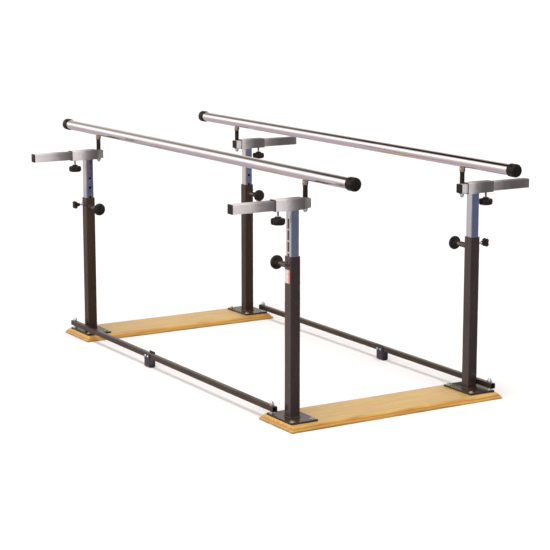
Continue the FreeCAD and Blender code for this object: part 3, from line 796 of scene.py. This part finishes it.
def fold_pivot(base, corner):
    """Stud, washers, spacer and domed nut that a stringer turns on."""
    sx, sy = CORNERS[corner]
    low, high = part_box("pivot_bolts_" + base)
    thick = 1.6 * MM
    spacer_r = 6.6 * MM
    spacer_z = PLATE_TOP + thick
    spacer = washer(spacer_r, PIN_R, STRINGER_Z - STRINGER_SIDE / 2 - GAP - spacer_z)
    upper_z = STRINGER_Z + STRINGER_SIDE / 2 + GAP
    nut_z = upper_z + thick
    stack = (("lower_washer_", washer(WASHER_R, PIN_R, thick), PLATE_TOP, 0.0, 0.3),
             ("spacer_", spacer, spacer_z, 0.0, 0.3),
             ("upper_washer_", washer(spacer_r, PIN_R, thick), upper_z, 0.0, 0.2),
             ("nut_", acorn(NUT_FLATS, NUT_FLATS_HEIGHT, high.z - nut_z), nut_z, 0.35 * sx + sy, 0.25),
             ("stud_", rod(PIN_R, nut_z - low.z), low.z, 0.0, 0.3))
    for name, shape, z, spin, edge in stack:
        piece("pivot_" + name + corner, placed(shape, pivot(sx, sy, z), Z, spin), "bright_zinc",
              "base_" + base, ["pivot_bolts_" + base], edge=edge)


for base, sx in BASES.items():
    plank(base, sx)
for corner, (sx, sy) in CORNERS.items():
    base = "left" if sx < 0 else "right"
    base_plate(base, corner)
    upright(base, corner)
    fittings(base, corner)
    fasteners(base, corner)
    fold_pivot(base, corner)


# Stringers and their feet

FOOT_WALL = 3.2 * MM
FOOT_BOLT_DX = 10.0 * MM
FOOT_BOLT_R = 3.0 * MM


def stringer(side, sy):
    """Square tube with a hole for the fold pivot at each end."""
    low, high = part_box("stringer_" + side)
    start = Vector((low.x, (low.y + high.y) / 2, STRINGER_Z))
    tube = placed(square_tube(STRINGER_SIDE, STRINGER_WALL, high.x - low.x), start, X)
    cutters = [drill(pivot(sx, sy, low.z - 1 * MM), Z, PIN_R + CLEAR, 2 * STRINGER_SIDE)
               for sx in (-1, 1)]
    piece("stringer_tube_" + side, carved(tube, *cutters), "dull_bronze", "stringer_" + side,
          ["stringer_" + side], edge=0.35)


def foot(side, sy):
    """U-shaped foot: round lower corners, the inner flange taller."""
    low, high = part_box("stringer_foot_" + side)
    middle = (low.y + high.y) / 2
    half = (high.y - low.y) / 2
    outer_top = STRINGER_Z + STRINGER_SIDE / 2 - 2.0 * MM
    tops = (high.z, outer_top) if sy < 0 else (outer_top, high.z)
    corner = 6.0 * MM
    steps = 6
    outline = [(half, tops[0])]
    for radius, reach in ((corner, half), (corner - FOOT_WALL, half - FOOT_WALL)):
        turns = []
        for quarter, i in ((0, 1), (1, -1)):
            for k in range(steps + 1):
                angle = -math.pi / 2 * (quarter + k / steps)
                turns.append((i * (reach - radius) + radius * math.cos(angle),
                              half - reach + radius + radius * math.sin(angle)))
        if reach == half:
            outline += turns + [(-half, tops[1]), (-half + FOOT_WALL, tops[1])]
        else:
            outline += turns[::-1] + [(half - FOOT_WALL, tops[0])]
    loops = [[(x, middle + y, low.z + z) for y, z in outline] for x in (low.x, high.x)]
    piece("foot_bracket_" + side, sections(loops), "black_paint", "stringer_" + side,
          ["stringer_foot_" + side], edge=0.6, rounds=3, crease=50.0)


def foot_bolts(side, sy):
    """Two dome-headed bolts across the foot, with nuts on its inner side."""
    body = "stringer_" + side
    node = ["foot_bolts_" + side]
    bracket_low, bracket_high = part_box("stringer_foot_" + side)
    outer = bracket_low.y if sy < 0 else bracket_high.y
    inner = bracket_high.y if sy < 0 else bracket_low.y
    middle = centre("stringer_foot_" + side).x
    z = STRINGER_Z - 1.0 * MM
    past_nut = 6.0 * MM
    nut_flats = 10.0 * MM
    nut_height = 5.0 * MM
    for index, dx in enumerate((-FOOT_BOLT_DX, FOOT_BOLT_DX), 1):
        label = side + "_" + str(index)
        face = Vector((middle + dx, outer, z))
        head = placed(turned(in_metres(DOME_HEAD)), face, Y * sy)
        shank = placed(threaded(FOOT_BOLT_R, 1.0 * MM, abs(inner - outer) + past_nut), face, Y * -sy)
        piece("foot_bolt_" + label, joined(head, shank), "bright_zinc", body, node, edge=0.2, crease=60.0)
        nut = carved(hex_head(nut_flats, nut_height), drill(-Z * MM, Z, FOOT_BOLT_R, 8 * MM))
        nut = placed(nut, Vector((middle + dx, inner, z)), Y * -sy, 0.3)
        piece("foot_nut_" + label, nut, "bright_zinc", body, node, edge=0.2)


for side, sy in SIDES.items():
    stringer(side, sy)
    foot(side, sy)
    foot_bolts(side, sy)


# Risers, sleeves and arms

def riser(corner):
    """Inner upright with its holes, and the sleeve across its top."""
    sx, sy = CORNERS[corner]
    low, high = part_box("riser_" + corner)
    sleeve_low = SLEEVE_Z - OUTER_SIDE / 2
    tube = placed(square_tube(INNER_SIDE, INNER_WALL, sleeve_low - low.z), post(corner, low.z))
    cutters = [drill(post(corner, PIN_Z + k * HOLE_PITCH), X * -sx, PIN_R + 6 * CLEAR, INNER_SIDE)
               for k in range(-HOLES_BELOW, HOLES_ABOVE + 1)]
    body = "riser_" + corner
    piece("riser_tube_" + corner, carved(tube, *cutters), "chrome", body, [body], edge=0.5)
    start = Vector((sx * POST_X, low.y if sy > 0 else high.y, SLEEVE_Z))
    sleeve = placed(square_tube(OUTER_SIDE, OUTER_WALL, high.y - low.y), start, Y * sy)
    clamp = Vector((sx * POST_X, sy * CLAMP_Y, SLEEVE_Z))
    sleeve = carved(sleeve, drill(clamp, -Z, SCREW_R + CLEAR, OUTER_SIDE))
    piece("sleeve_" + corner, sleeve, "satin_steel", body, [body], edge=0.45)
    weld = weld_round(INNER_SIDE, out=0.3 * MM, spacing=0.7 * MM, radius=1.3 * MM)
    weld = placed(weld, post(corner, sleeve_low - 0.2 * MM))
    piece("sleeve_weld_" + corner, weld, "satin_steel", body, edge=0)


def arm(corner):
    """Crosswise tube and the plugs in its ends; the inner plug is short, clear of the rail's stud."""
    sx, sy = CORNERS[corner]
    low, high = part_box("arm_" + corner)
    start = Vector((sx * POST_X, low.y if sy > 0 else high.y, SLEEVE_Z))
    tube = placed(square_tube(INNER_SIDE, INNER_WALL, high.y - low.y), start, Y * sy)
    hole = Vector((sx * POST_X, sy * RAIL_Y, SLEEVE_Z - INNER_SIDE))
    tube = carved(tube, drill(hole, Z, PIN_R + CLEAR, 2 * INNER_SIDE))
    piece("arm_tube_" + corner, tube, "satin_arm", "arm_" + corner, ["arm_" + corner], edge=0.4)
    plug_low, plug_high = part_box("arm_plugs_" + corner)
    ends = ((low.y, low.y - plug_low.y, -1), (high.y, plug_high.y - high.y, 1))
    bore = INNER_SIDE - 2 * INNER_WALL - 0.2 * MM
    bore_corner = 1.6 * MM
    for label, (end, head, way) in zip(("a", "b"), ends):
        shank = 4.0 * MM if abs(end) < POST_Y else 14.0 * MM
        loops = []
        for wide, rounding, z in ((bore, bore_corner, -shank), (bore, bore_corner, 0.0),
                                  (INNER_SIDE, TUBE_CORNER, 0.0), (INNER_SIDE, TUBE_CORNER, head * 0.6),
                                  (INNER_SIDE * 0.9, TUBE_CORNER, head)):
            loops.append(raised(rounded_square(wide, wide, rounding), z))
        plug = placed(sections(loops), Vector((sx * POST_X, end, SLEEVE_Z)), Y * way)
        piece("arm_plug_" + corner + "_" + label, plug, "black_plastic", "arm_" + corner,
              ["arm_plugs_" + corner], edge=0.4, crease=20.0)


def sticker(name, slot, body, corner, half_side, wide, bottom, top, shift=0.0):
    """Thin adhesive film on the outer side of a square tube."""
    sy = CORNERS[corner][1]
    film = 0.15 * MM
    face = post(corner, bottom) + Y * sy * (half_side + film / 2) + X * shift
    piece(name, placed(block(wide, film, top - bottom, 0.05 * MM), face), slot, body, edge=0)


for corner in CORNERS:
    riser(corner)
    arm(corner)
sticker("scale_strip_nr", "scale_strip", "riser_nr", "nr", INNER_SIDE / 2, wide=10.5 * MM,
        bottom=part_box("riser_nr")[0].z + 20 * MM, top=SLEEVE_Z - OUTER_SIDE / 2 - 27 * MM)
sticker("blank_label_nr", "blank_label", "base_right", "nr", OUTER_SIDE / 2, wide=30 * MM,
        bottom=475 * MM, top=520 * MM, shift=-1.5 * MM)


# Pins, screws and knobs

def height_pin(corner):
    """Pin with the collar that its spring pushes on, and its mushroom knob."""
    sx = CORNERS[corner][0]
    low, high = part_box("height_pin_" + corner)
    face = post(corner, PIN_Z) - X * sx * OUTER_SIDE / 2
    nose = (OUTER_SIDE - INNER_SIDE) / 2 - GAP
    tip = 0.6 * MM
    collar_r = 6.7 * MM
    collar_top = 4.3 * MM
    stop_r = 6.5 * MM
    stop = 56 * MM
    neck = PIN_NECK * MM
    knob_r = (high.z - low.z) / 2
    body = "height_pin_" + corner
    pin = turned([(0, -nose), (PIN_R - tip, -nose), (PIN_R, tip - nose), (PIN_R, GAP), (collar_r, GAP),
                  (collar_r, collar_top), (PIN_R, collar_top), (PIN_R, stop), (stop_r, stop),
                  (stop_r, neck), (0, neck)])
    piece("height_pin_rod_" + corner, placed(pin, face, X * -sx), "yellow_zinc", body, [body])
    knob = in_metres(PIN_KNOB_NECK, neck)
    knob += [(share * knob_r, neck + rise * MM) for share, rise in PIN_KNOB_RIM]
    knob.append((0, neck + PIN_KNOB_TOP * MM))
    piece("height_pin_knob_" + corner, placed(turned(knob, 72), face, X * -sx), "black_plastic", body,
          [body], edge=0.5, crease=50.0)


def shaped_knob(outline, flutes, centre_r, flute_r, lobes_from, lobes_to, segments_per_flute):
    """Knob from an outline in millimetres, its side fluted between two heights."""
    outer = max(radius for radius, height in outline)
    ring = fluted(outer * MM, flutes, centre_r * MM, flute_r * MM)
    stations = []
    for radius, height in outline:
        if radius and lobes_from <= height <= lobes_to:
            inset = (outer - radius) * MM
            stations.append((lambda angle, inset=inset: ring(angle) - inset, height * MM))
        else:
            stations.append((radius * MM, height * MM))
    return turned(stations, flutes * segments_per_flute)


def screw_and_knob(kind, corner, knob_name, knob, start, outward, reach, spin=0.0):
    """Screw with its tip just short of the tube inside, and the knob on its outer end."""
    body = kind + "_" + corner
    tip = (OUTER_SIDE - INNER_SIDE) / 2 - GAP
    screw = placed(threaded(SCREW_R, THREAD_PITCH, tip + reach), start - outward * tip, outward)
    piece(kind + "_thread_" + corner, screw, "bright_zinc", body, [body], edge=0)
    piece(knob_name + "_" + corner, placed(knob, start, outward, spin), "black_plastic", body, [body],
          edge=0.5, crease=55.0)


def clamp_screw(corner):
    sx, sy = CORNERS[corner]
    start = Vector((sx * POST_X, sy * CLAMP_Y, SLEEVE_Z - OUTER_SIDE / 2))
    knob = shaped_knob(CLAMP_KNOB, flutes=7, centre_r=28.4, flute_r=6.5, lobes_from=23, lobes_to=45.5,
                       segments_per_flute=22)
    screw_and_knob("clamp_screw", corner, "clamp_knob", knob, start, -Z, reach=20 * MM, spin=0.2)


def set_screw(corner):
    sy = CORNERS[corner][1]
    start = post(corner, SET_SCREW_Z) + Y * sy * OUTER_SIDE / 2
    knob = shaped_knob(SET_KNOB, flutes=4, centre_r=18.5, flute_r=8.0, lobes_from=34, lobes_to=46.2,
                       segments_per_flute=32)
    screw_and_knob("set_screw", corner, "set_screw_knob", knob, start, Y * sy, reach=24 * MM)


def pin_spring(corner):
    """Compression spring with closer end coils."""
    sx, sy = CORNERS[corner]
    low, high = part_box("pin_spring_" + corner)
    wire_r = 0.7 * MM
    turns = 7
    steps = 28
    sides = 10
    coil_r = (high.z - low.z) / 2 - wire_r
    length = high.x - low.x - 2 * wire_r
    crowding = 0.6
    loops = []
    for k in range(turns * steps + 1):
        share = k / (turns * steps)
        rise = wire_r + length * (share - crowding * math.sin(2 * math.pi * share) / (2 * math.pi))
        angle = 2 * math.pi * k / steps
        outward = Vector((math.cos(angle), math.sin(angle), 0))
        loops.append([coil_r * outward + rise * Z + wire_r * (math.cos(a) * outward + math.sin(a) * Z)
                      for a in (2 * math.pi * i / sides for i in range(sides))])
    inner = Vector((high.x if sx > 0 else low.x, sy * POST_Y, PIN_Z))
    made = piece("spring_coil_" + corner, placed(sections(loops), inner, X * -sx), "spring_steel",
                 "base_left" if sx < 0 else "base_right", ["pin_spring_" + corner], edge=0)
    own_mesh(made)


for corner in CORNERS:
    height_pin(corner)
    clamp_screw(corner)
    pin_spring(corner)
for corner in SET_SCREW_CORNERS:
    set_screw(corner)


# Rails and their posts

RAIL_WALL = 1.9 * MM
FORK_SLOT = 6.4 * MM
FORK_BASE = 4.0 * MM
POST_WASHER_THICK = 2.0 * MM


def rail(side, sy):
    low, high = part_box("rail_" + side)
    tube = washer(RAIL_R, RAIL_R - RAIL_WALL, high.x - low.x, 96)
    tube = placed(tube, Vector((low.x, sy * RAIL_Y, RAIL_Z)), X)
    piece("rail_tube_" + side, tube, "rail_steel", "rail_" + side, ["rail_" + side])


def rail_cap(side, sx, sy):
    """Slip-on cap with a rounded end."""
    low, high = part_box("rail_caps_" + side)
    r = (high.z - low.z) / 2
    length = 34.0 * MM
    end = 5.0 * MM
    rounding = 8.0 * MM
    round_z = length - 8.5 * MM
    steps = 8
    stations = [(RAIL_R, 0), (r - 0.9 * MM, 0), (r, 1.0 * MM), (r, round_z)]
    for k in range(1, steps):
        angle = math.pi / 2 * k / steps
        stations.append((r - rounding * (1 - math.cos(angle)), round_z + rounding * math.sin(angle)))
    stations += [(r - 8.6 * MM, length - 0.4 * MM), (0, length), (0, length - end), (RAIL_R, length - end)]
    start = Vector((sx * (high.x - length), sy * RAIL_Y, RAIL_Z))
    cap = placed(turned(stations, 72, closed=True), start, X * sx)
    piece("rail_cap_" + side + ("_left" if sx < 0 else "_right"), cap, "black_rubber", "rail_" + side,
          ["rail_caps_" + side], edge=0.4, crease=45.0)


def rail_post(side, sx, sy):
    """Tab under the rail, fork, rivet, spacer, washers and domed nut."""
    label = side + ("_left" if sx < 0 else "_right")
    body = "rail_" + side
    axis = Vector((sx * POST_X, sy * RAIL_Y, 0))
    post_low, post_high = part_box("rail_posts_" + side)
    spacer_low, spacer_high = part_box("post_spacers_" + side)
    nuts_low, nuts_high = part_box("post_nuts_" + side)
    pin_low, pin_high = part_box("clevis_pins_" + side)
    fork_z = spacer_high.z
    fork_height = post_high.z - fork_z
    fork_r = 10.0 * MM
    fork_half = 8.2 * MM
    chamfer = 0.8 * MM
    blank = turned([(0, 0), (fork_r - chamfer, 0), (fork_r, chamfer), (fork_r, fork_height - chamfer),
                    (fork_r - chamfer, fork_height), (0, fork_height)])
    cutters = [placed(block(30 * MM, FORK_SLOT, 30 * MM, 0.8 * MM), Vector((0, 0, FORK_BASE)))]
    for way in (-1, 1):
        flat = Vector((0, way * (fork_half + 5 * MM), -10 * MM))
        cutters.append(placed(block(30 * MM, 10 * MM, 40 * MM, 0.2 * MM), flat))
    fork = placed(carved(blank, *cutters), axis + Z * fork_z)
    stud = placed(rod(PIN_R, fork_z - post_low.z), axis + Z * post_low.z)
    piece("rail_fork_" + label, joined(fork, stud), "aged_zinc", body, ["rail_posts_" + side], edge=0.4)
    tab_low = fork_z + FORK_BASE + 0.4 * MM
    tab_top = RAIL_Z - RAIL_R + 1.0 * MM
    tab = placed(block(17 * MM, FORK_SLOT - 0.4 * MM, tab_top - tab_low, 1.5 * MM), axis + Z * tab_low)
    piece("rail_tab_" + label, tab, "rail_steel", body, ["rail_lugs_" + side])
    half = (pin_high.y - pin_low.y) / 2
    ends = in_metres(RIVET_END)
    rivet = turned([(r, h - half) for r, h in ends] + [(r, half - h) for r, h in reversed(ends)])
    piece("clevis_rivet_" + label, placed(rivet, axis + Z * (pin_low.z + pin_high.z) / 2, Y), "yellow_zinc",
          body, ["clevis_pins_" + side], edge=0.15)
    spacer = washer((spacer_high.y - spacer_low.y) / 2, PIN_R, spacer_high.z - spacer_low.z)
    piece("post_spacer_" + label, placed(spacer, axis + Z * spacer_low.z), "black_plastic", body,
          ["post_spacers_" + side], edge=0.8, rounds=3)
    low_washer_z = SLEEVE_Z - INNER_SIDE / 2 - GAP - POST_WASHER_THICK
    for name, slot, z in (("post_washer_top_", "yellow_zinc", spacer_low.z - POST_WASHER_THICK),
                          ("post_washer_low_", "aged_zinc", low_washer_z)):
        disc = washer((nuts_high.y - nuts_low.y) / 2, PIN_R, POST_WASHER_THICK)
        piece(name + label, placed(disc, axis + Z * z), slot, body, ["post_nuts_" + side], edge=0.4)
    nut = acorn(NUT_FLATS, NUT_FLATS_HEIGHT, low_washer_z - nuts_low.z)
    nut = placed(nut, axis + Z * low_washer_z, -Z, 0.3)
    piece("post_nut_" + label, nut, "bright_zinc", body, ["post_nuts_" + side], edge=0.25)


for side, sy in SIDES.items():
    rail(side, sy)
    for sx in (-1, 1):
        rail_cap(side, sx, sy)
        rail_post(side, sx, sy)


# Floor, light and camera

def floor():
    """Pale round floor, just under the planks, that the metal doesn't mirror."""
    bm = bmesh.new()
    bmesh.ops.create_circle(bm, cap_ends=True, segments=96, radius=60.0)
    made = holder(bm)
    made.name = "floor"
    paint = Paint("floor", (0.90, 0.90, 0.90), 0.75)
    mottle = paint.noise(1.5, 2.0)
    paint.wire(paint.ramp(mottle, (0.3, 0.895), (0.7, 0.91)), "Base Color")
    paint.set("Specular IOR Level", 0.1)
    made.data.materials.append(paint.material)
    made.location.z = -0.4 * MM
    made.visible_glossy = False


def studio():
    """Room light as long strips that run along the rails: a bright bank on the near side, a dark gap
    overhead and a pale floor, with one bluish dark stretch beyond the far right corner. The camera
    sees plain white."""
    world = bpy.data.worlds.new("studio")
    bpy.context.scene.world = world
    world.use_nodes = True
    graph = Graph(world.node_tree)
    direction = graph.node("ShaderNodeTexCoord").outputs["Generated"]
    axes = graph.node("ShaderNodeSeparateXYZ", Vector=direction).outputs
    around = graph.sums("ARCTAN2", axes[2], graph.times(axes[1], -1.0))
    turn = graph.sums("ADD", graph.times(around, 0.5 / math.pi), 0.5)
    brightest = 1.6

    def strips(*bank):
        """Light by the angle up from the near side's horizon, in degrees."""
        stops = [(degrees / 360 + 0.5, [c / brightest for c in colour]) for degrees, colour in bank]
        return graph.blend(1.0, graph.ramp(turn, *stops), brightest, "MULTIPLY")

    near_side = ((-60, (0.60, 0.48, 0.54)), (-22, (0.62, 0.54, 0.55)), (-4, (0.90, 0.85, 0.84)),
                 (12, (1.45, 1.40, 1.38)), (44, (1.50, 1.46, 1.42)))
    far_side = ((152, (1.0, 0.95, 0.92)), (180, (0.85, 0.80, 0.78)))
    pale = strips((-180, (0.34, 0.30, 0.37)), (-130, (0.34, 0.30, 0.37)), (-105, (0.58, 0.50, 0.56)),
                  *near_side, (58, (0.85, 0.77, 0.73)), (75, (0.46, 0.38, 0.35)), (98, (0.50, 0.42, 0.39)),
                  (125, (0.72, 0.64, 0.61)), *far_side)
    gap = strips((-180, (0.66, 0.60, 0.62)), (-110, (0.62, 0.53, 0.58)), *near_side,
                 (57, (0.80, 0.72, 0.68)), (67, (0.10, 0.07, 0.06)), (76, (0.02, 0.014, 0.012)),
                 (112, (0.03, 0.022, 0.02)), (132, (0.50, 0.43, 0.40)), *far_side)
    length = graph.sums("ADD", graph.times(axes[0], 0.5), 0.5)
    dark_stretch = graph.ramp(length, (0.052, 0.0), (0.09, 1.0), (0.25, 1.0), (0.4, 0.0))
    seen = graph.blend(dark_stretch, pale, gap)
    along = graph.tree.nodes.new("ShaderNodeVectorMath")
    along.operation = "DOT_PRODUCT"
    graph.feed(along.inputs[0], direction)
    along.inputs[1].default_value = Vector((0.84, 0.51, -0.19)).normalized()
    patch = graph.ramp(along.outputs["Value"], (0.955, 0.0), (0.985, 1.0))
    seen = graph.blend(patch, seen, (0.13, 0.15, 0.24))
    camera_ray = graph.node("ShaderNodeLightPath").outputs["Is Camera Ray"]
    graph.feed(graph.tree.nodes["Background"].inputs["Color"], graph.blend(camera_ray, seen, 1.0))


def lamp(name, kind, power, aim, place=(0.0, 0.0, 0.0)):
    """Lamp that shines towards a point."""
    data = bpy.data.lights.new(name, kind)
    data.energy = power
    made = bpy.data.objects.new(name, data)
    bpy.context.scene.collection.objects.link(made)
    made.location = place
    made.rotation_euler = (Vector(aim) - Vector(place)).to_track_quat("-Z", "Y").to_euler()
    return data


def lamps():
    """Even light from above for soft shadows on the floor, and a weak softbox on the near side."""
    overhead = lamp("sun", "SUN", power=1.7, aim=(-0.12, 0.1, -1.0))
    overhead.angle = math.radians(24.0)
    front = lamp("front", "AREA", power=40.0, aim=(0.0, 0.0, 0.4), place=(2.6, -4.2, 2.4))
    front.shape = "RECTANGLE"
    front.size = 2.2
    front.size_y = 1.6
    front.color = (1.0, 0.97, 0.94)


def camera():
    """Portrait lens at the angle of a standing viewer across the near right corner."""
    data = bpy.data.cameras.new("camera")
    data.sensor_width = 36.0
    data.lens = 115.2
    data.clip_end = 200.0
    made = bpy.data.objects.new("camera", data)
    bpy.context.scene.collection.objects.link(made)
    aim = Vector((0.0, 0.0354, 0.3349))
    azimuth = math.radians(58.71)
    elevation = math.radians(10.84)
    distance = 6.6123
    away = Vector((math.sin(azimuth) * math.cos(elevation), -math.cos(azimuth) * math.cos(elevation),
                   math.sin(elevation)))
    made.location = aim + away * distance
    made.rotation_euler = (-away).to_track_quat("-Z", "Y").to_euler()
    bpy.context.scene.camera = made


floor()
studio()
lamps()
camera()
bpy.context.scene.view_settings.view_transform = "Standard"
